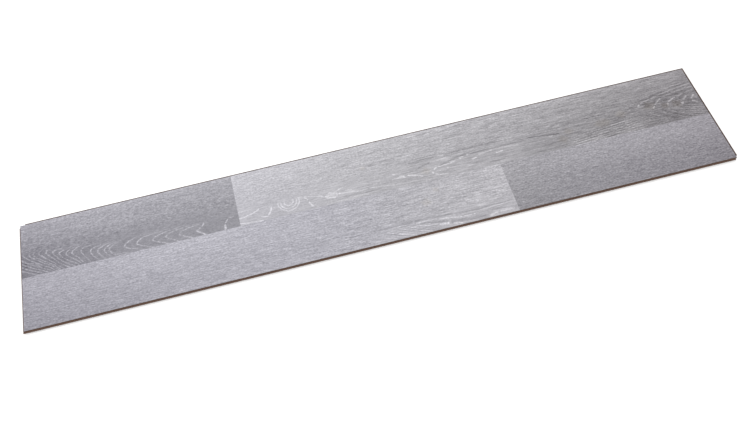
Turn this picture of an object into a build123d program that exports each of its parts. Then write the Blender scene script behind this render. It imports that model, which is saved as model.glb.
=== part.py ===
"""Click-joint laminate floor plank, lying on its underside with its decor face up.

The origin is on the underside, below the centre of the laid face. +X runs along the plank, +Z is up.
The near long edge (-Y) and the left end (-X) carry a tongue. The far long edge (+Y) and the right
end (+X) carry a groove over a protruding locking lip. Edge sizes are measured outward from the
joint face, which is where the faces of two laid planks meet.
"""

import os
from math import radians, tan

from build123d import *

os.makedirs("parts", exist_ok=True)

# Laid size: the decor face from joint face to joint face, and the whole thickness
laid_length = 1291.0
laid_width = 246.0
plank_thickness = 8.0

# Decor face: printed sheet and wear layer, pressed on the core
decor_thickness = 0.3
decor_arris = 0.15

# Reach of the tongue and of the locking lip, along the long edges and at the ends
long_tongue_reach = 2.6
long_lip_reach = 7.4
end_tongue_reach = 2.2
end_lip_reach = 5.4

# Tongue: depth of the joint face above it, thickness, bevel over its nose and the full round belly
# that lets a plank be angled into the groove
joint_face_depth = 2.6
tongue_thickness = 2.4
tongue_nose_bevel = 0.4
tongue_belly_radius = 1.8

# Locking lip: the seat below the tongue, and the dish behind the seat
seat_reach = 0.5
dish_start = 1.5
dish_depth = 0.5
lip_nose_height = 2.2

# Locking bump at the end of the lip, with an inclined face that pulls the joint shut
lock_setback = 2.7
lock_height = 1.1
lock_land = 0.8
lock_angle = 60.0

# Clearances between a tongue side and the groove side that it clicks into
joint_clearance = 0.1
tongue_nose_gap = 0.5
lock_headroom = 0.2
lip_end_gap = 0.3

# Milling: lead-in at the groove mouth, rounded groove floor, eased corners, and how much further
# than the recess beside it a lip is cut back at a corner
groove_lead_in = 0.4
groove_radius = 0.4
eased_radius = 0.25
corner_relief = 2.0

# Heights above the underside, chained down from the walking face
core_top = plank_thickness - decor_thickness
tongue_top = plank_thickness - joint_face_depth
tongue_bottom = tongue_top - tongue_thickness
groove_top = tongue_top + joint_clearance
groove_bottom = tongue_bottom - joint_clearance
dish_floor = groove_bottom - dish_depth
heel_bottom = dish_floor + joint_clearance
lock_top = dish_floor + lock_height
notch_top = lock_top + lock_headroom

# Distance from a joint face to where the lip beside it is cut back
long_notch = long_lip_reach + lip_end_gap + corner_relief
end_notch = end_lip_reach + lip_end_gap + corner_relief

# Waste: the blank stands out past the tongues and lips, and the cutters run past the blank
saw_allowance = max(long_tongue_reach, long_lip_reach, end_tongue_reach, end_lip_reach) + joint_clearance
cutter_overrun = plank_thickness


def lock_face_reach(lip_reach, height):
    """Reach of a lip's inclined locking face at a height above the underside."""
    return lip_reach - lock_setback + (height - dish_floor) / tan(radians(lock_angle))


def tongue_side(tongue_reach, lip_reach):
    """Milled outline of a tongue side, from the top down, as (reach, height, corner radius)."""
    return [
        (0, core_top + cutter_overrun, 0),
        (0, tongue_top, eased_radius),
        (tongue_reach - tongue_nose_bevel, tongue_top, 0),
        (tongue_reach, tongue_top - tongue_nose_bevel, 0),
        (tongue_reach, tongue_bottom, tongue_belly_radius),
        (-seat_reach, tongue_bottom, 0),
        (-dish_start, heel_bottom, 0),
        (joint_clearance - lock_face_reach(lip_reach, heel_bottom), heel_bottom, 0),
        (joint_clearance - lock_face_reach(lip_reach, notch_top), notch_top, 0),
        (-lip_reach - lip_end_gap, notch_top, 0),
        (-lip_reach - lip_end_gap, -cutter_overrun, 0),
    ]


def groove_side(tongue_reach, lip_reach):
    """Milled outline of a groove side, from the underside up, as (reach, height, corner radius)."""
    groove_depth = tongue_reach + tongue_nose_gap
    return [
        (lip_reach, -cutter_overrun, 0),
        (lip_reach, lip_nose_height, eased_radius),
        (lock_face_reach(lip_reach, lock_top) + lock_land, lock_top, eased_radius),
        (lock_face_reach(lip_reach, lock_top), lock_top, eased_radius),
        (lock_face_reach(lip_reach, dish_floor), dish_floor, eased_radius),
        (dish_start, dish_floor, 0),
        (seat_reach, groove_bottom, 0),
        (-groove_depth, groove_bottom, tongue_belly_radius),
        (-groove_depth, groove_top, groove_radius),
        (-groove_lead_in, groove_top, 0),
        (0, groove_top + groove_lead_in, 0),
        (0, core_top + cutter_overrun, 0),
    ]


def waste_outline(side, joint_face, outward):
    """Closed outline of what is milled off an edge: the side's own outline, closed outside the blank."""
    outer_reach = saw_allowance + cutter_overrun
    corners = side + [(outer_reach, side[-1][1], 0), (outer_reach, side[0][1], 0)]
    FilletPolyline(
        [(outward * (joint_face + reach), height) for reach, height, radius in corners],
        radius=[radius for reach, height, radius in corners],
        close=True,
    )


with BuildPart() as hdf_core:
    # Blank: the core board with a saw allowance all round
    with BuildSketch():
        Rectangle(laid_length + 2 * saw_allowance, laid_width + 2 * saw_allowance)
    extrude(amount=core_top)
    # Milling: first along the long edges, then across the ends, each pass past both corners, so that
    # it also trims the lip or the tongue of the edges beside it
    for edge_plane, laid_span, tongue_reach, lip_reach in (
        (Plane.YZ, laid_width, long_tongue_reach, long_lip_reach),
        (Plane.XZ, laid_length, end_tongue_reach, end_lip_reach),
    ):
        with BuildSketch(edge_plane):
            with BuildLine():
                waste_outline(tongue_side(tongue_reach, lip_reach), laid_span / 2, -1)
            make_face()
            with BuildLine():
                waste_outline(groove_side(tongue_reach, lip_reach), laid_span / 2, 1)
            make_face()
        extrude(amount=laid_length, both=True, mode=Mode.SUBTRACT)
    # Corner notches: beside a tongue side the lip is milled away, and its loose bump goes with it
    with BuildSketch():
        with Locations((end_notch - laid_length / 2, laid_width / 2)):
            Rectangle(2 * end_notch, 2 * long_notch, align=(Align.MAX, Align.MIN))
        with Locations((laid_length / 2, long_notch - laid_width / 2)):
            Rectangle(2 * end_notch, 2 * long_notch, align=(Align.MIN, Align.MAX))
    extrude(amount=core_top, mode=Mode.SUBTRACT)

hdf_core.part.label = "hdf_core"
export_step(hdf_core.part, "parts/hdf_core.step")

# Decor layer: covers the core from joint face to joint face, its upper edges eased by a fine arris
with BuildPart() as decor_layer:
    with BuildSketch(Plane.XY.offset(core_top)):
        Rectangle(laid_length, laid_width)
    extrude(amount=decor_thickness)
    chamfer(decor_layer.faces().sort_by(Axis.Z)[-1].edges(), length=min(decor_arris, decor_thickness / 2))

decor_layer.part.label = "decor_layer"
export_step(decor_layer.part, "parts/decor_layer.step")
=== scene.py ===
"""Looks of the laminate floor plank: limed-oak decor, milled fibreboard edges, pale studio and camera."""

from math import pi, radians

import bpy
from mathutils import Matrix, Vector


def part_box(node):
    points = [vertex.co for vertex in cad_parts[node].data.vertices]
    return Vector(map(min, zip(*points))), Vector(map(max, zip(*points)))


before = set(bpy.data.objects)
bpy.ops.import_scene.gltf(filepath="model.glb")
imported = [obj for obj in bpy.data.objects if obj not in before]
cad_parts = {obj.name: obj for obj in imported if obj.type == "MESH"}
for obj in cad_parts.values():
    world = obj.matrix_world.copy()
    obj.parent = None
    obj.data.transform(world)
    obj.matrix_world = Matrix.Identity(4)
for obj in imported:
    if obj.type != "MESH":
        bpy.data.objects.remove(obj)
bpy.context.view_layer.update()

# Camera: fitted to the four corners of the decor face
camera_place = Vector((-0.1697, -1.3655, 1.5425))
camera_aim = Vector((-0.0210, -0.0580, 0.008))
camera_roll = radians(-8.71)
camera_lens_mm = 55.11
camera_clip = (0.01, 50)
sensor_width_mm = 36.0

# Studio: a pale floor and sky, which shed less light than they show to the seen rays, and one large
# soft lamp above the left end
sky_strength = 0.70
lamp_place = Vector((-1.6, -0.6, 3.2))
lamp_aim = Vector((0, 0, 0))
lamp_size = 2.4
lamp_power = 30.0
floor_half_span = 6.0
floor_height = -0.0003
floor_colour = (0.86, 0.86, 0.86, 1)
floor_glow = 0.5
white = (1, 1, 1, 1)
seen_rays = ("Is Camera Ray", "Is Glossy Ray", "Is Transmission Ray")

# Printed boards of the decor, in millimetres from the left end and from the near long edge
millimetre = 0.001
decor_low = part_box("decor_layer")[0]
strip_line = 118.0
far_strip_width = 128.0
far_joint = 398.0
near_joint = 885.0

# Tones of the decor are steps of 255, as (millimetres along the plank, tone) at each side of a board
far_left_upper = [(0, 163), (80, 168), (190, 172), (398, 171)]
far_left_lower = [(0, 126), (60, 133), (170, 147), (260, 152), (398, 155)]
far_right_upper = [(398, 209), (510, 207), (690, 197), (870, 187), (1000, 178), (1150, 167), (1291, 152)]
far_right_lower = [(398, 199), (570, 197), (720, 190), (870, 182), (960, 169), (1060, 156), (1291, 136)]
near_left_upper = [(0, 175), (120, 182), (330, 191), (600, 190), (885, 197)]
near_left_lower = [(0, 160), (120, 166), (300, 176), (600, 185), (885, 195)]
near_right_upper = [(885, 172), (1080, 171), (1291, 164)]
near_right_lower = [(885, 155), (1080, 150), (1291, 140)]

# Where a board's lower tone goes over into its upper one, as shares of its strip's width
far_left_blend = (0.2, 0.8)
far_right_blend = (0.3, 1.0)
near_blend = (0.1, 0.9)

# Tone added along the two long edges, and the heights over which it comes in
far_edge_light = [(0, 12), (390, 12), (410, 1), (600, 3), (750, 7), (1291, 7)]
near_edge_light = [(0, -4), (180, -4), (260, 2), (620, 3), (720, -3), (885, -3), (1000, 0), (1291, -4)]
far_edge_rise = (222, 246)
near_edge_rise = (24, 2)

# Blue and green of the print, as what is added to its tone along the plank
far_blue = [(0, 7), (398, 6), (600, 4), (900, 2.5), (1100, 1), (1291, 0)]
near_blue = [(0, 8), (450, 8), (700, 5), (885, 3.5), (1000, 4), (1291, 3)]
green = [(0, -2), (500, -1.2), (900, -2), (1291, -4)]

# Noise in the print, as kind: length and width of a grain, rise over which the grains shift back by
# one length (0 where they stay in line), seed, detail, roughness
print_noise = {
    "clouds": (45.0, 14.0, 0, 0.0, 3, 0.5),
    "pepper": (3.7, 2.3, 0, 0.0, 1, 0.5),
    "dashes": (13.0, 2.3, 30.0, 7.0, 2, 0.6),
    "streaks": (34.0, 2.6, 30.0, 0.0, 2, 0.5),
    "bands": (90.0, 7.0, 0, 11.0, 2, 0.5),
    "open grain": (65.0, 1.9, 40.0, 17.0, 1, 0.5),
    "pores": (3.5, 0.45, 0, 13.0, 2, 0.6),
    "chalk": (3.2, 2.2, 0, 9.0, 2, 0.5),
}

# Seeds that set the boards' noise apart: that of both far boards, and what the right ones add
far_seed = 3.7
far_right_seed = 5.3
near_right_seed = 2.9

# Noise at which open grain and chalk begin, and at which they are full
open_grain_edge = (0.08, 0.22)
chalk_edge = (-0.16, 0.10)

# Tone that a noise of 1 gives, and how two of the boards differ in that and in their dashes' length
cloud_depth = 16.0
pore_depth = 30.0
pepper_depth = 84.0
far_left_pepper_gain = 4.0
near_right_pepper_gain = 12.0
dash_depth = 94.0
far_left_dash_loss = 16.0
far_left_dash_cut = 4.0

# Depth of the streaky grain along the two strips, and its shares
far_streaks = [(0, 16), (398, 16), (430, 40), (700, 80), (900, 110), (1160, 110), (1291, 60)]
near_streaks = [(0, 30), (200, 48), (440, 58), (700, 85), (875, 90), (895, 36), (1291, 36)]
streak_share = 0.85
band_share = 0.35
open_grain_share = 0.2

# Calm parts of the far strip and of the near left board, where pepper and dashes lose some of their
# depth: the steps along the plank and up it that bound them
calm_loss = 0.45
far_calm = ((1120, 920), (185, 155))
near_left_calm = ((600, 680), (44, 32))

# Limed lines are chalky. What a line has without chalk and what full chalk adds: in steps of 255 for
# the growth rings, and as factors of their own tone for the limbs and for all light lines together
limed_ring_chalk = (14.0, 22.0)
faint_ring_chalk = (6.0, 8.0)
limb_chalk = (0.4, 0.6)
light_chalk = (0.75, 0.75)

# Wavering of the rings and of the figures: length and width of the noise, seeds and shifts of it along
# and across the plank, detail
ring_sway = (9.0, 7.0, (21.0, 33.0), (4.0, 3.0), 2)
figure_sway = (7.0, 7.0, (41.0, 53.0), (4.5, 4.5), 3)

# Growth rings of the far left board: height of their tips and of the last ring's upper end, bend of
# the upper and lower limbs, places of the limed rings along the board, and pitch of the faint rings
tip_height = [
    (0, 171), (50, 164), (82, 151), (108, 149), (130, 142), (160, 137), (262, 135), (330, 131)
]
ring_ceiling = [(0, 173), (130, 171), (190, 163), (260, 157), (398, 152)]
upper_bend = [(0, 6), (200, 6), (250, 3.2), (398, 3)]
lower_slope = [(0, 0.9), (95, 1.0), (115, 0.5), (165, 0.6), (190, 2.0), (262, 1.7), (398, 2.4)]
lower_bend = 45.0
tip_rounding = 3.0
limed_rings = (
    -44, -31, -19, -8, 4, 14, 21, 32, 45, 57, 69, 81, 92, 108, 125, 138, 150, 159, 187, 209, 239, 262, 287
)
faint_ring_pitch = 5.4

# Distances from a ring's line at which a share is 0 and 1: that of a limed ring, of a faint ring, and
# of the wood between limed rings, which takes a tone off the faint ones
limed_ring_edge = (1.7, 0.6)
faint_ring_edge = (1.3, 0.4)
between_rings_edge = (1.2, 2.6)
between_rings_loss = 9.0

# Where the rings end: at their ceiling, high above their tips, and along the board
ring_ceiling_fade = (3.0, -5.0)
ring_height_fade = (24.0, 7.0)
ring_end_fade = (345, 300)

# The limed rings are weaker well below their tips in the middle of the board
weak_ring_start = (95, 125)
weak_ring_end = (250, 225)
weak_ring_depth = (3.0, 15.0)
weak_ring_loss = 0.45

# Grain figures drawn one by one: start, end, bow to the left of the way from start to end, half
# width, and tone added. Limed veins are lighter than the board, and open grain is darker
figures = [
    # Squiggle, hook, loose veins and patches of the far left board
    ((333, 149), (328, 138), 1.5, 1.6, 36),
    ((328, 138), (316, 132), 0.5, 1.5, 32),
    ((316, 132), (335, 117), 0.8, 1.8, 40),
    ((391, 146), (377, 144), 0.5, 1.2, 22),
    ((378, 144), (370, 133), 1.2, 1.6, 38),
    ((370, 133), (369, 116), 1.4, 2.0, 44),
    ((14, 149), (24, 146), 1.0, 1.4, 34),
    ((24, 146), (34, 135), 0.5, 1.4, 30),
    ((1, 161), (5, 153), 0.0, 1.4, 34),
    ((2, 149), (13, 149), 0.0, 1.7, -28),
    ((4, 142), (13, 141), 0.0, 1.6, -26),
    ((36, 164), (49, 148), -0.8, 1.5, 30),
    ((347, 159), (372, 151), 0.5, 1.0, 16),
    ((98, 214), (126, 210), 0.0, 5.0, 9),
    ((346, 185), (354, 186), 0.0, 2.6, 16),
    ((364, 160), (372, 162), 0.0, 2.0, 12),
    ((376, 176), (386, 177), 0.0, 2.0, 13),
    ((238, 203), (262, 203), 0.0, 1.6, -9),
    ((290, 198), (344, 198), 0.5, 1.8, -9),
    # Veins, hooks, chalk patch and dark dashes at the left of the far right board
    ((396, 136), (438, 149), -3.0, 1.5, 26),
    ((396, 151), (425, 152), 0.5, 1.3, 16),
    ((396, 124), (442, 118), -0.5, 1.4, 22),
    ((460, 148), (450, 126), 1.6, 1.7, 28),
    ((436, 130), (453, 125), -0.5, 1.5, 24),
    ((461, 150), (474, 144), 1.0, 1.6, -10),
    ((508, 153), (519, 151), 1.0, 1.4, 22),
    ((519, 151), (528, 139), 1.5, 1.7, 26),
    ((528, 139), (535, 122), -1.0, 1.8, 28),
    ((521, 152), (547, 144), 0.5, 1.3, 18),
    ((543, 145), (558, 141), 0.5, 2.4, 22),
    ((554, 142), (584, 137), -1.0, 7.0, 17),
    ((557, 141), (580, 132), -1.5, 2.4, 28),
    ((564, 146), (582, 142), 0.5, 2.4, 26),
    ((596, 143), (612, 141), 0.0, 2.0, 20),
    ((580, 131), (580, 147), -1.0, 2.2, 22),
    ((579, 146), (597, 153), 0.0, 1.4, 18),
    ((582, 140), (640, 134), -1.5, 1.7, 22),
    ((640, 134), (690, 128), 0.5, 1.4, 16),
    ((690, 128), (757, 122), 0.5, 1.2, 14),
    ((590, 128), (650, 127), 0.0, 1.8, -16),
    ((575, 122), (640, 121), 1.0, 1.4, 14),
    ((632, 151), (658, 140), -1.0, 1.3, 16),
    ((634, 194), (652, 190), -0.5, 1.8, -14),
    ((648, 189), (664, 189), 0.0, 2.6, -18),
    ((672, 194), (692, 192), 0.0, 1.8, -12),
    ((642, 220), (673, 220), 0.0, 1.6, -11),
    ((684, 186), (700, 174), 0.0, 6.0, -8),
    # Chalk flecks, hook, dots and dark dashes in its middle
    ((688, 157), (696, 150), 0.0, 2.0, 20),
    ((684, 141), (713, 140), 1.5, 1.5, 24),
    ((699, 145), (712, 144), 0.0, 2.2, 26),
    ((714, 144), (745, 132), 0.5, 1.9, 32),
    ((702, 150), (738, 150), -0.5, 1.6, -16),
    ((722, 173), (745, 168), -0.5, 2.2, -14),
    ((744, 172), (772, 172), 0.0, 1.6, -16),
    ((736, 154), (765, 163), -0.5, 1.8, -24),
    ((775, 162), (797, 164), 0.0, 1.3, 14),
    ((762, 140), (764, 131), -0.8, 2.0, 34),
    ((764, 131), (792, 124), -1.5, 1.5, 24),
    ((764, 140), (774, 146), 0.8, 1.9, 34),
    ((774, 146), (811, 150), -0.5, 1.6, 26),
    ((777, 149), (810, 157), -0.5, 1.6, -24),
    ((807, 158), (847, 166), -0.5, 2.2, -18),
    ((815, 153), (828, 157), 0.5, 2.2, 30),
    ((832, 159), (836, 160), 0.0, 2.0, 26),
    ((774, 136), (779, 137), 0.0, 1.8, 26),
    ((790, 138), (793, 138), 0.0, 2.0, 38),
    ((772, 132), (795, 131), 1.5, 1.3, -14),
    ((735, 173), (780, 172), 0.5, 1.4, -14),
    ((775, 182), (785, 182), 0.0, 1.8, -18),
    ((790, 173), (900, 174), 0.5, 2.3, -22),
    ((724, 240), (738, 240), 0.0, 1.6, -13),
    ((788, 238), (796, 238), 0.0, 1.8, -13),
    ((798, 213), (842, 213), 0.0, 1.6, -11),
    ((735, 237), (757, 237), 0.0, 2.6, 12),
    ((764, 217), (778, 215), 0.0, 3.0, 11),
    ((838, 144), (852, 147), 0.5, 2.0, 38),
    ((838, 159), (950, 159), 2.0, 2.0, -18),
    ((852, 153), (884, 156), 0.5, 1.9, 19),
    ((884, 146), (902, 148), 0.5, 1.7, 32),
    ((902, 155), (934, 153), 0.5, 2.2, 15),
    ((866, 127), (900, 128), 0.5, 1.8, -16),
    ((890, 142), (927, 140), 0.0, 1.3, -14),
    ((950, 164), (1013, 157), 0.5, 1.8, -30),
    ((990, 153), (1001, 156), 0.0, 1.9, 28),
    # Flecks, arcs, hooks and dark patches at its right end
    ((1008, 178), (1020, 176), 0.5, 1.5, 18),
    ((1000, 179), (1014, 180), 0.5, 1.5, -16),
    ((1045, 170), (1062, 168), 0.0, 1.4, 13),
    ((1067, 178), (1078, 177), 0.0, 1.9, -20),
    ((1082, 180), (1092, 179), 0.0, 1.6, -18),
    ((1108, 145), (1154, 151), 0.3, 1.2, 24),
    ((1112, 148), (1140, 152), 0.3, 1.2, -16),
    ((1056, 139), (1099, 142), 0.3, 1.3, -18),
    ((1138, 170), (1147, 169), 0.0, 3.0, -18),
    ((1126, 171), (1136, 169), 0.0, 1.6, 14),
    ((1150, 172), (1160, 170), 0.0, 1.6, 24),
    ((1150, 164), (1162, 161), 0.5, 1.4, 22),
    ((1152, 190), (1168, 188), 0.5, 1.4, 20),
    ((1158, 182), (1171, 184), 0.5, 1.4, 24),
    ((1154, 187), (1171, 187), 0.5, 1.3, -18),
    ((1154, 177), (1166, 177), 0.0, 1.8, -18),
    ((1174, 172), (1180, 182), 1.0, 2.0, 34),
    ((1180, 182), (1203, 188), 0.8, 1.5, 30),
    ((1203, 188), (1290, 204), 2.5, 1.5, 23),
    ((1182, 192), (1288, 212), 3.0, 1.4, 15),
    ((1200, 191), (1290, 208), 2.5, 1.6, -13),
    ((1246, 190), (1290, 196), 1.0, 1.4, 23),
    ((1240, 183), (1290, 192), 1.0, 1.8, -12),
    ((1268, 183), (1290, 187), 0.5, 1.4, 20),
    ((1188, 156), (1226, 124), -2.0, 1.4, 14),
    ((1206, 154), (1250, 122), -2.0, 1.4, 15),
    ((1224, 150), (1272, 120), -2.0, 1.4, 17),
    ((1234, 152), (1290, 136), -2.0, 1.4, 18),
    ((1262, 152), (1291, 146), -1.0, 1.4, 18),
    ((1196, 156), (1236, 124), -2.0, 1.5, -13),
    ((1214, 153), (1262, 121), -2.0, 1.5, -13),
    ((1178, 186), (1200, 191), 0.8, 1.5, -20),
    ((1199, 160), (1205, 169), 0.6, 1.9, 38),
    ((1205, 169), (1223, 184), 1.2, 1.7, 38),
    ((1223, 184), (1246, 190), 1.0, 1.4, 22),
    ((1228, 158), (1231, 170), 1.0, 2.3, 34),
    ((1231, 170), (1250, 178), 1.0, 1.8, 40),
    ((1250, 178), (1268, 183), 0.5, 1.5, 32),
    ((1256, 153), (1259, 165), 0.8, 3.0, 46),
    ((1259, 165), (1272, 176), 0.5, 1.9, 40),
    ((1268, 158), (1273, 168), 0.0, 3.2, -18),
    ((1286, 152), (1275, 163), 1.2, 2.5, 46),
    ((1275, 163), (1287, 175), 1.5, 2.3, 36),
    ((1178, 164), (1208, 178), 2.0, 10.0, -13),
    ((1215, 152), (1233, 173), 0.0, 8.0, -11),
    ((1236, 155), (1252, 168), 2.0, 10.0, -14),
    # Long grain and chalk along the near edge of the near left board, and dashes above them
    ((632, 31), (700, 32), 0.5, 2.1, -22),
    ((698, 32), (772, 28), 1.5, 2.4, -22),
    ((770, 28), (885, 29), -2.0, 2.4, -16),
    ((666, 29), (700, 26), 0.0, 1.3, 20),
    ((700, 27), (742, 25), 1.0, 1.5, 19),
    ((742, 25), (786, 18), -0.5, 1.7, 25),
    ((786, 18), (804, 17), 0.0, 1.2, 20),
    ((804, 17), (810, 17), 0.0, 2.2, 28),
    ((671, 28), (708, 24), -0.5, 1.6, -18),
    ((706, 24), (760, 14), 0.8, 2.4, -20),
    ((758, 14), (834, 4), -1.0, 4.0, -18),
    ((690, 21), (740, 13), 1.0, 1.5, 18),
    ((738, 12), (762, 9), 0.5, 2.8, 31),
    ((762, 8), (784, 3), 0.5, 2.3, 30),
    ((664, 13), (700, 3), 0.5, 2.2, 24),
    ((612, 8), (634, 5), 0.5, 1.8, 18),
    ((704, 8), (728, 3), 0.0, 1.8, 20),
    ((500, 6), (530, 4), 0.3, 1.4, -14),
    ((548, 9), (582, 5), 0.3, 1.5, -16),
    ((590, 13), (622, 6), 0.3, 1.5, -16),
    ((636, 11), (650, 8), 0.0, 1.8, 16),
    ((640, 21), (672, 7), 0.5, 1.4, -14),
    ((830, 3), (850, 9), 1.0, 2.6, 20),
    ((848, 9), (882, 9), 0.5, 3.0, 20),
    ((836, 16), (866, 15), 0.5, 2.6, -12),
    ((824, 23), (884, 24), 0.5, 1.4, 10),
    ((593, 61), (632, 60), 0.3, 1.6, -20),
    ((680, 66), (698, 66), 0.0, 1.4, -16),
    ((752, 66), (776, 67), 0.3, 1.6, -20),
    ((784, 67), (832, 68), 0.5, 1.6, -22),
    ((676, 52), (712, 54), 0.3, 1.6, -16),
    ((654, 42), (678, 43), 0.3, 1.6, -18),
    ((624, 38), (648, 38), 0.3, 1.5, -16),
    ((576, 31), (606, 31), -0.3, 1.8, -22),
    ((574, 38), (600, 38), 0.3, 1.5, -13),
    ((568, 29), (602, 27), 0.3, 1.4, 16),
    ((576, 49), (606, 48), 0.3, 1.4, -12),
]

# Broad lighter and darker parts of the boards: start, end, half width, tone added
broad_tones = [
    ((402, 129), (600, 128), 15.0, -4),
    ((402, 128), (440, 128), 10.0, -5),
    ((600, 128), (760, 128), 15.0, -6),
    ((700, 170), (790, 170), 15.0, -6),
    ((790, 134), (850, 136), 15.0, 5),
    ((960, 136), (1150, 134), 16.0, -8),
    ((990, 162), (1060, 162), 8.0, -5),
    ((1130, 204), (1180, 204), 15.0, 4),
    ((950, 196), (1110, 198), 9.0, 5),
    ((1170, 130), (1285, 128), 9.0, -5),
    ((1160, 184), (1291, 188), 16.0, -9),
    ((1160, 150), (1285, 146), 24.0, -8),
    ((1262, 190), (1284, 130), 14.0, -7),
    ((1205, 228), (1291, 228), 12.0, 7),
    ((260, 108), (400, 108), 10.0, 4),
    ((200, 60), (250, 60), 16.0, -5),
    ((800, 48), (850, 44), 24.0, 8),
    ((930, 60), (1150, 50), 16.0, -3),
]

# Warm brown patches: start, end, half width
warm_patches = [
    ((740, 141), (762, 145), 11.0),
    ((630, 187), (650, 187), 6.0),
    ((998, 138), (1032, 142), 12.0),
    ((1016, 156), (1044, 157), 11.0),
    ((1072, 156), (1122, 157), 11.0),
    ((1124, 168), (1150, 168), 13.0),
    ((1180, 165), (1210, 177), 14.0),
    ((1214, 154), (1232, 172), 10.0),
    ((1236, 156), (1254, 166), 13.0),
    ((722, 72), (742, 66), 12.0),
    ((752, 99), (760, 88), 8.0),
]

# Crowded fine limbs: left and right end, upper and lower end, slope, pitch, tone. From their left,
# right and upper ends they fade in over the lengths in limb_fades
fine_limbs = [
    (1010, 1176, 149, 116, 0.10, 5.6, 32),
    (1238, 1300, 152, 116, -0.36, 5.6, 26),
    (628, 740, 27, -4, -0.42, 6.2, 20),
]
limb_fades = (30, 20, 6)

# A figure's share is 0 and 1 at these numbers of half widths from its line, which stops this number
# of them short of the figure's ends
line_edge = (1.3, 0.4)
end_taper = 1.6

# Oval rings in the far right board, of which the lower part shows: centre, half width and depth, the
# limed rings as shares of them, distances from a ring's line at which it is 0 and 1, heights as
# shares of the half depth between which the rings come in, and tone added
oval_centre = (492, 149)
oval_reach = (20, 22)
oval_rings = (0.42, 0.74, 1.0)
oval_edge = (1.8, 0.7)
oval_lower_part = (0.45, -0.1)
oval_tone = 22.0

# What a warm patch adds to the red and takes off the blue
warm_red_gain = 1.5
warm_blue_loss = 3.5

# Cut edge of the decor paper, below the arris: its colour in steps of 255, darker than the paper's own so
# that it also holds painted shade for the side faces, the height of the arris's lower edge in millimetres,
# and the height over which the colour changes, to each side
paper_edge_with_painted_shade = (106, 96, 90)
arris_height = 7.85
arris_blend = 0.03

# Surface of the decor: roughness of the wear layer, what pores and the paper's edge add, and its relief
wear_layer_roughness = 0.5
pore_roughness = 0.3
paper_roughness = 0.3
decor_relief = 0.4

# Fibreboard: size of its fibres, specks and patches in millimetres along, across and up the plank,
# and the tone that each gives
fibre_size = (1.1, 1.1, 0.4)
speck_size = (0.4, 0.4, 0.3)
patch_size = (30.0, 30.0, 5.0)
fibre_depth = 34.0
speck_depth = 26.0
patch_depth = 14.0

# Its colour in steps of 255, the fibreboard's own brown darkened with painted shade for its milled side
# faces, and the shares of a tone that go to red, green and blue
board_colour_with_painted_shade = (108, 85, 73)
brown_shares = (1.0, 0.86, 0.74)

# Its darker skins: the heights over which each comes in, and the tone that they take off
lower_skin = (1.3, 0.3)
upper_skin = (6.4, 7.4)
skin_loss = 9.0

# Feed marks that the cutters leave on it: pitch in millimetres, and tone
feed_mark_pitch = 1.6
feed_mark_depth = 1.5

# Backing paper under it: colour, the heights over which it comes in, and the size of its mottle in
# millimetres, with the mottle's seed, its tone and that of the specks in it
backing_colour = (158, 141, 118)
backing_start = (0.02, 0.0)
mottle_size = (7.0, 5.0)
mottle_seed = 3.0
mottle_depth = 16.0
mottle_speck_depth = 8.0

# Surface of the fibreboard: roughness, what the fibres add to it and the backing takes off it, share
# of the feed marks in the relief, share of the relief that the backing lacks, and its strength
board_roughness = 0.88
fibre_roughness = 0.2
backing_smoothness = 0.16
feed_mark_relief = 0.1
backing_flatness = 0.7
board_relief = 0.5

# For both materials: depth of a relief of 1 in metres, and the exponent that turns displayed levels
# into linear ones
relief_depth = 0.0001
display_gamma = 2.22


class Field:
    """A number that varies over a surface. Arithmetic on it adds math nodes to its node tree."""

    def __init__(self, nodes, socket):
        self.nodes = nodes
        self.socket = socket

    def __add__(self, other):
        return self.nodes.math("ADD", self, other)

    def __radd__(self, other):
        return self.nodes.math("ADD", other, self)

    def __sub__(self, other):
        return self.nodes.math("SUBTRACT", self, other)

    def __rsub__(self, other):
        return self.nodes.math("SUBTRACT", other, self)

    def __mul__(self, other):
        return self.nodes.math("MULTIPLY", self, other)

    def __truediv__(self, other):
        return self.nodes.math("DIVIDE", self, other)

    def __abs__(self):
        return self.nodes.math("ABSOLUTE", self)

    def __gt__(self, other):
        return self.nodes.math("GREATER_THAN", self, other)

    def root(self):
        return self.nodes.math("SQRT", self)

    def least(self, other):
        return self.nodes.math("MINIMUM", self, other)

    def most(self, other):
        return self.nodes.math("MAXIMUM", self, other)

    def mix(self, other, share):
        """This field where share is 0, the other where it is 1."""
        return self + (other - self) * share

    def step(self, low, high):
        """Smooth step from 0 at low to 1 at high; low may be the larger."""
        # Smooth steps keep within 0 and 1 by themselves, and clamps would make the shader too large
        settings = {"interpolation_type": "SMOOTHSTEP", "clamp": False}
        return self.nodes.add("ShaderNodeMapRange", self, low, high, **settings)

    def profile(self, points):
        """Smooth curve through (this field, result) points."""
        first, last = points[0][0], points[-1][0]
        results = [result for place, result in points]
        low, span = min(results), max(results) - min(results)
        node = self.nodes.tree.nodes.new("ShaderNodeFloatCurve")
        curve = node.mapping.curves[0]
        while len(curve.points) < len(points):
            curve.points.new(0.5, 0.5)
        for point, (place, result) in zip(curve.points, points):
            point.location = ((place - first) / (last - first), (result - low) / span)
        node.mapping.update()
        self.nodes.feed(node.inputs["Value"], (self - first) / (last - first))
        return Field(self.nodes, node.outputs[0]) * span + low


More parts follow.
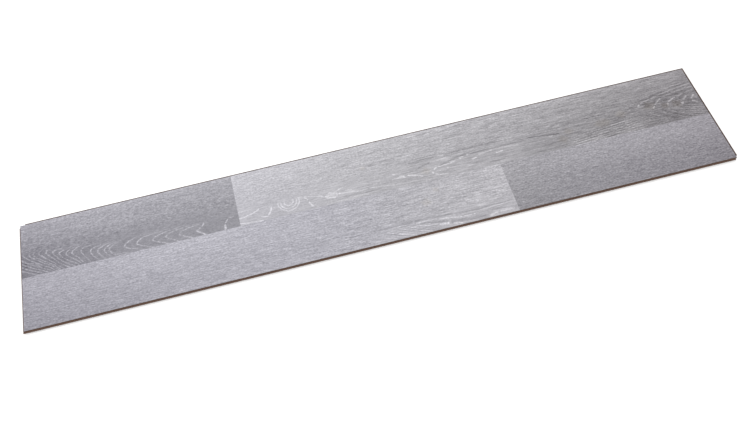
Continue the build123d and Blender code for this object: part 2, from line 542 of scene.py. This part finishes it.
class Nodes:
    """Builds a node tree in short lines."""

    def __init__(self, tree):
        self.tree = tree

    def add(self, kind, *inputs, out=0, **settings):
        """New node with its first inputs fed; returns one of its outputs."""
        node = self.tree.nodes.new(kind)
        for name, value in settings.items():
            setattr(node, name, value)
        for socket, value in zip(node.inputs, inputs):
            self.feed(socket, value)
        return Field(self, node.outputs[out])

    def feed(self, socket, value):
        """Link a field to an input, or set the input to a plain value."""
        if isinstance(value, Field):
            self.tree.links.new(value.socket, socket)
        else:
            socket.default_value = value

    def math(self, operation, *values):
        return self.add("ShaderNodeMath", *values, operation=operation)

    def place(self, unit):
        """Object coordinates as three fields, in units of that many metres."""
        coordinates = self.tree.nodes.new("ShaderNodeTexCoord").outputs["Object"]
        split = self.tree.nodes.new("ShaderNodeSeparateXYZ")
        self.tree.links.new(coordinates, split.inputs[0])
        return [Field(self, socket) / unit for socket in split.outputs]

    def noise(self, x, y, z, detail, roughness=0.5):
        """Noise about 0, mostly between -0.3 and 0.3, with grains of about one unit."""
        node = self.tree.nodes.new("ShaderNodeTexNoise")
        self.feed(node.inputs["Vector"], self.add("ShaderNodeCombineXYZ", x, y, z))
        node.inputs["Scale"].default_value = 1
        node.inputs["Detail"].default_value = detail
        node.inputs["Roughness"].default_value = roughness
        return Field(self, node.outputs[0]) - 0.5

    def seen_ray(self):
        """1 for rays from the camera, from a glossy surface or through glass, 0 for the light's own."""
        rays = self.tree.nodes.new("ShaderNodeLightPath").outputs
        camera, glossy, glass = (Field(self, rays[name]) for name in seen_rays)
        return camera.most(glossy).most(glass)

    def bump(self, height, strength):
        """Normal for a height field, whose unit is the relief's depth."""
        node = self.tree.nodes.new("ShaderNodeBump")
        node.inputs["Strength"].default_value = strength
        node.inputs["Distance"].default_value = relief_depth
        self.feed(node.inputs["Height"], height)
        return Field(self, node.outputs[0])

    def finish(self, shader, tones, roughness, relief):
        """Feed a shader with red, green and blue tones in steps of 255, a roughness and a normal."""
        colour = self.add("ShaderNodeCombineColor", *(tone / 255.0 for tone in tones))
        self.feed(shader.inputs["Base Color"], self.add("ShaderNodeGamma", colour, display_gamma))
        self.feed(shader.inputs["Roughness"], roughness)
        self.feed(shader.inputs["Normal"], relief)


def new_material(name):
    material = bpy.data.materials.new(name)
    material.use_nodes = True
    shader = material.node_tree.nodes["Principled BSDF"]
    return material, Nodes(material.node_tree), shader


def nearest(field, places):
    """Distance of a field from the nearest of some values."""
    gap = abs(field - places[0])
    for place in places[1:]:
        gap = gap.least(abs(field - place))
    return gap


def figure_group():
    """Node group for one grain figure: its share at a place, 1 along its line and 0 outside it."""
    tree = bpy.data.node_groups.new("grain_figure", "ShaderNodeTree")
    for name, kind in (
        ("place", "Vector"),
        ("start", "Vector"),
        ("along over length", "Vector"),
        ("across", "Vector"),
        ("length", "Float"),
        ("flat", "Float"),
        ("bow", "Float"),
        ("half width", "Float"),
    ):
        tree.interface.new_socket(name=name, in_out="INPUT", socket_type="NodeSocket" + kind)
    tree.interface.new_socket(name="share", in_out="OUTPUT", socket_type="NodeSocketFloat")
    nodes = Nodes(tree)
    sockets = tree.nodes.new("NodeGroupInput").outputs[:8]
    place, start, along, across, length, flat, bow, half_width = (Field(nodes, s) for s in sockets)
    way = nodes.add("ShaderNodeVectorMath", place, start, operation="SUBTRACT")
    done = nodes.add("ShaderNodeVectorMath", way, along, out=1, operation="DOT_PRODUCT")
    aside = nodes.add("ShaderNodeVectorMath", way, across, out=1, operation="DOT_PRODUCT")
    aside = abs(aside - (done - done * done) * (bow * 4.0))
    past = (abs(done - 0.5) * length - flat).most(0.0)
    share = (aside + past).step(*(half_width * edge for edge in line_edge))
    nodes.feed(tree.nodes.new("NodeGroupOutput").inputs[0], share)
    return tree


class Pen:
    """Draws grain figures at a wavering place."""

    def __init__(self, nodes, x, y):
        self.nodes = nodes
        self.x = x
        self.y = y
        self.place = nodes.add("ShaderNodeCombineXYZ", x, y)
        self.group = figure_group()

    def draw(self, start, end, half_width, bow=0.0):
        """Share of one figure."""
        way = Vector((*end, 0)) - Vector((*start, 0))
        across = Vector((-way.y, way.x, 0)).normalized()
        flat = max(way.length / 2 - end_taper * half_width, 0)
        node = self.nodes.tree.nodes.new("ShaderNodeGroup")
        node.node_tree = self.group
        line = ((*start, 0), way / way.length_squared, across, way.length, flat, bow, half_width)
        for socket, value in zip(node.inputs, (self.place, *line)):
            self.nodes.feed(socket, value)
        return Field(self.nodes, node.outputs[0])


class OakPrint:
    """What the parts of the print share: the place in millimetres, its board, and the print's noise."""

    def __init__(self, nodes):
        self.nodes = nodes
        x, y, self.z = nodes.place(millimetre)
        self.x = x - decor_low.x / millimetre
        self.y = y - decor_low.y / millimetre
        self.far = self.y > strip_line
        self.near = 1.0 - self.far
        self.far_right = self.far * (self.x > far_joint)
        self.near_right = self.near * (self.x > near_joint)
        self.far_left = self.far - self.far_right
        self.near_left = self.near - self.near_right
        self.seed = self.far * far_seed + self.far_right * far_right_seed + self.near_right * near_right_seed
        self.chalk = self.noise("chalk").step(*chalk_edge)
        self.ring_x, self.ring_y = self.swayed(*ring_sway)
        self.pen = Pen(nodes, *self.swayed(*figure_sway))

    def noise(self, kind, length_cut=0.0):
        """One kind of the print's noise, with grains shorter by a cut."""
        length, width, rise, seed, detail, roughness = print_noise[kind]
        along = self.x / (length - length_cut)
        if rise:
            along = along + self.y / rise
        return self.nodes.noise(along, self.y / width, self.seed + seed, detail, roughness)

    def swayed(self, length, width, seeds, shifts, detail):
        """The place, shifted by noise so that lines drawn there waver."""
        return [
            place + self.nodes.noise(self.x / length, self.y / width, seed, detail) * shift
            for place, seed, shift in zip((self.x, self.y), seeds, shifts)
        ]

    def chalky(self, bare, added):
        """A number from its value without chalk and what full chalk adds."""
        return self.chalk * added + bare


def board_tone(x, height, lower, upper, blend):
    """Tone of one board at a height that is a share of its strip's width."""
    return x.profile(lower).mix(x.profile(upper), height.step(*blend))


def bare_tone(oak):
    """Tone of the bare boards, in steps of 255."""
    x, y = oak.x, oak.y
    far_height = (y - strip_line) / far_strip_width
    near_height = y / strip_line
    far_left = board_tone(x, far_height, far_left_lower, far_left_upper, far_left_blend)
    far_right = board_tone(x, far_height, far_right_lower, far_right_upper, far_right_blend)
    near_left = board_tone(x, near_height, near_left_lower, near_left_upper, near_blend)
    near_right = board_tone(x, near_height, near_right_lower, near_right_upper, near_blend)
    far_edge = y.step(*far_edge_rise) * x.profile(far_edge_light)
    near_edge = y.step(*near_edge_rise) * x.profile(near_edge_light)
    far_tone = far_left.mix(far_right, x > far_joint) + far_edge
    near_tone = near_left.mix(near_right, x > near_joint) + near_edge
    return near_tone.mix(far_tone, oak.far)


def grain_tone(oak, dashes, pores):
    """Tone that the general grain adds."""
    near_calm_x, near_calm_y = near_left_calm
    far_calm_x, far_calm_y = far_calm
    near_part = oak.near_left * oak.x.step(*near_calm_x) * oak.y.step(*near_calm_y)
    far_part = oak.far * oak.y.step(*far_calm_y) * oak.x.step(*far_calm_x)
    calm = far_part.most(near_part) * calm_loss
    pepper_tone = oak.far_left * far_left_pepper_gain + oak.near_right * near_right_pepper_gain + pepper_depth
    speckle = oak.noise("pepper") * pepper_tone + dashes * (dash_depth - oak.far_left * far_left_dash_loss)
    open_grain = oak.noise("open grain").step(*open_grain_edge)
    streaky = oak.noise("streaks") * streak_share + oak.noise("bands") * band_share
    streaky = streaky - open_grain * open_grain_share
    streak_depth = oak.x.profile(near_streaks).mix(oak.x.profile(far_streaks), oak.far)
    return speckle * (1.0 - calm) + streaky * streak_depth + pores * pore_depth


def ring_tone(oak):
    """Tone that the growth rings add in the far left board."""
    x, y = oak.ring_x, oak.ring_y
    height = y - x.profile(tip_height)
    above = height.most(0.0)
    below = (0.0 - height).most(0.0)
    bend = x.profile(upper_bend)
    slope = x.profile(lower_slope)
    setback = above * above / (bend * 2.0) + below * below / (lower_bend * 2.0)
    setback = setback + ((below * below + tip_rounding ** 2).root() - tip_rounding) * slope
    steepness = above / bend + below / lower_bend + below / (below + tip_rounding) * slope
    stretch = (steepness * steepness + 1.0).root()
    ring = x - setback
    limed_gap = nearest(ring, limed_rings) / stretch
    faint_gap = oak.nodes.math("PINGPONG", ring / faint_ring_pitch, 0.5) * faint_ring_pitch / stretch

    reach = (y - x.profile(ring_ceiling)).step(*ring_ceiling_fade) * above.step(*ring_height_fade)
    reach = reach * x.step(*ring_end_fade)
    weak = below.step(*weak_ring_depth) * x.step(*weak_ring_start) * x.step(*weak_ring_end)
    limed = limed_gap.step(*limed_ring_edge) * reach * (1.0 - weak * weak_ring_loss)
    faint = faint_gap.step(*faint_ring_edge) * reach
    between = limed_gap.step(*between_rings_edge) * reach
    rings = (limed * oak.chalky(*limed_ring_chalk)).most(faint * oak.chalky(*faint_ring_chalk))
    return (rings - between * between_rings_loss) * oak.far_left


def figure_tones(oak):
    """Tones that the light and the dark grain figures add."""
    light = dark = oak.x * 0.0
    for start, end, bow, half_width, added in figures:
        tone = oak.pen.draw(start, end, half_width, bow) * added
        if added > 0:
            light = light.most(tone)
        else:
            dark = dark.least(tone)
    return light, dark


def broad_tone(oak):
    """Tone that the broad lighter and darker parts add."""
    tone = oak.x * 0.0
    for start, end, half_width, added in broad_tones:
        tone = tone + oak.pen.draw(start, end, half_width) * added
    return tone


def warm_share(oak):
    """Share of the warm brown patches."""
    warm = oak.x * 0.0
    for start, end, half_width in warm_patches:
        warm = warm.most(oak.pen.draw(start, end, half_width))
    return warm


def with_limbs(oak, light):
    """Light tone with the crowded fine limbs added as waves."""
    left_fade, right_fade, upper_fade = limb_fades
    for left, right, upper, lower, slope, pitch, strength in fine_limbs:
        wave = oak.nodes.math("SINE", (oak.ring_y - oak.x * slope) * (2 * pi / pitch))
        limit = oak.x.step(left, left + left_fade) * oak.x.step(right, right - right_fade)
        limit = limit * oak.y.step(upper, upper - upper_fade) * (oak.y > lower)
        light = light + wave * limit * oak.chalky(*limb_chalk) * strength
    return light


def ovals_tone(oak):
    """Tone that the lower parts of the oval rings add."""
    x = (oak.pen.x - oval_centre[0]) / oval_reach[0]
    y = (oak.pen.y - oval_centre[1]) / oval_reach[1]
    gap = nearest((x * x + y * y).root(), oval_rings) * oval_reach[0]
    return gap.step(*oval_edge) * y.step(*oval_lower_part) * oval_tone


def oak_material():
    """Printed limed oak under a wear layer, with the paper's cut edge below the arris in a dark colour that
    holds painted shade.
    """
    material, nodes, shader = new_material("oak_decor")
    oak = OakPrint(nodes)
    pores = oak.noise("pores")
    dashes = oak.noise("dashes", oak.far_left * far_left_dash_cut)
    light, dark = figure_tones(oak)
    light = with_limbs(oak, light).most(ring_tone(oak)).most(ovals_tone(oak))
    tone = bare_tone(oak) + oak.noise("clouds") * cloud_depth + broad_tone(oak)
    tone = tone + grain_tone(oak, dashes, pores) + light * oak.chalky(*light_chalk) + dark
    warm = warm_share(oak)
    blue = oak.x.profile(near_blue).mix(oak.x.profile(far_blue), oak.far) - warm * warm_blue_loss
    printed = (tone + warm * warm_red_gain, tone + oak.x.profile(green), tone + blue)
    # Below the arris the decor's side takes the paper edge colour, which holds painted shade for the side
    # faces
    side = oak.z.step(arris_height + arris_blend, arris_height - arris_blend)
    tones = [face.mix(paper, side) for face, paper in zip(printed, paper_edge_with_painted_shade)]
    roughness = wear_layer_roughness - pores * pore_roughness + side * paper_roughness
    relief = nodes.bump((dashes + pores).least(0.0), decor_relief)
    nodes.finish(shader, tones, roughness, relief)
    return material


def board_material():
    """Milled fibreboard, its brown darkened with painted shade for the side faces: darker skins, fibres, feed
    marks of the cutters, paper backing below.
    """
    material, nodes, shader = new_material("fibreboard")
    x, y, z = place = nodes.place(millimetre)

    def noise(size, detail, roughness=0.5):
        return nodes.noise(*(way / length for way, length in zip(place, size)), detail, roughness)

    fibres = noise(fibre_size, detail=3, roughness=0.6)
    specks = noise(speck_size, detail=1)
    patches = noise(patch_size, detail=2)
    skins = z.step(*lower_skin).most(z.step(*upper_skin))
    feed = nodes.math("SINE", (x + y) * (2 * pi / feed_mark_pitch))
    milled = fibres * fibre_depth + specks * speck_depth + patches * patch_depth
    milled = milled + feed * feed_mark_depth - skins * skin_loss
    mottle = nodes.noise(x / mottle_size[0], y / mottle_size[1], mottle_seed, detail=3) * mottle_depth
    mottle = mottle + specks * mottle_speck_depth
    backing = z.step(*backing_start)
    # The fibreboard's base colour holds painted shade for the side faces; the backing paper's colour does not
    tones = [
        (milled * share + board).mix(mottle * share + paper, backing)
        for share, board, paper in zip(brown_shares, board_colour_with_painted_shade, backing_colour)
    ]
    roughness = board_roughness + fibres * fibre_roughness - backing * backing_smoothness
    height = (fibres + specks + feed * feed_mark_relief) * (1.0 - backing * backing_flatness)
    nodes.finish(shader, tones, roughness, nodes.bump(height, board_relief))
    return material


def dress(node, material):
    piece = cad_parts[node]
    piece.data.materials.clear()
    piece.data.materials.append(material)


def make_floor():
    mesh = bpy.data.meshes.new("floor")
    span = floor_half_span
    corners = [(-span, -span), (span, -span), (span, span), (-span, span)]
    mesh.from_pydata([(x, y, floor_height) for x, y in corners], [], [(0, 1, 2, 3)])
    floor = bpy.data.objects.new("floor", mesh)
    bpy.context.scene.collection.objects.link(floor)
    material = bpy.data.materials.new("floor")
    material.use_nodes = True
    nodes = Nodes(material.node_tree)
    nodes.tree.nodes.clear()
    diffuse = nodes.add("ShaderNodeBsdfDiffuse", floor_colour)
    emission = nodes.add("ShaderNodeEmission", white, nodes.seen_ray() * floor_glow)
    surface = nodes.add("ShaderNodeAddShader", diffuse, emission)
    output = nodes.tree.nodes.new("ShaderNodeOutputMaterial")
    nodes.feed(output.inputs["Surface"], surface)
    mesh.materials.append(material)


def make_sky():
    world = bpy.data.worlds.new("sky")
    bpy.context.scene.world = world
    world.use_nodes = True
    nodes = Nodes(world.node_tree)
    background = world.node_tree.nodes["Background"]
    nodes.feed(background.inputs["Color"], white)
    nodes.feed(background.inputs["Strength"], nodes.seen_ray() * (1.0 - sky_strength) + sky_strength)


def look_at(thing, place, aim, roll=0.0):
    turn = (aim - place).to_track_quat("-Z", "Y").to_matrix().to_4x4()
    thing.matrix_world = Matrix.Translation(place) @ turn @ Matrix.Rotation(roll, 4, "Z")


def make_lamp():
    light = bpy.data.lights.new("soft_lamp", "AREA")
    light.shape = "SQUARE"
    light.size = lamp_size
    light.energy = lamp_power
    lamp = bpy.data.objects.new("soft_lamp", light)
    bpy.context.scene.collection.objects.link(lamp)
    look_at(lamp, lamp_place, lamp_aim)


def make_camera():
    data = bpy.data.cameras.new("camera")
    data.sensor_width = sensor_width_mm
    data.lens = camera_lens_mm
    data.clip_start, data.clip_end = camera_clip
    camera = bpy.data.objects.new("camera", data)
    bpy.context.scene.collection.objects.link(camera)
    look_at(camera, camera_place, camera_aim, camera_roll)
    bpy.context.scene.camera = camera


dress("decor_layer", oak_material())
dress("hdf_core", board_material())
make_floor()
make_sky()
make_lamp()
make_camera()
bpy.context.scene.view_settings.view_transform = "Standard"
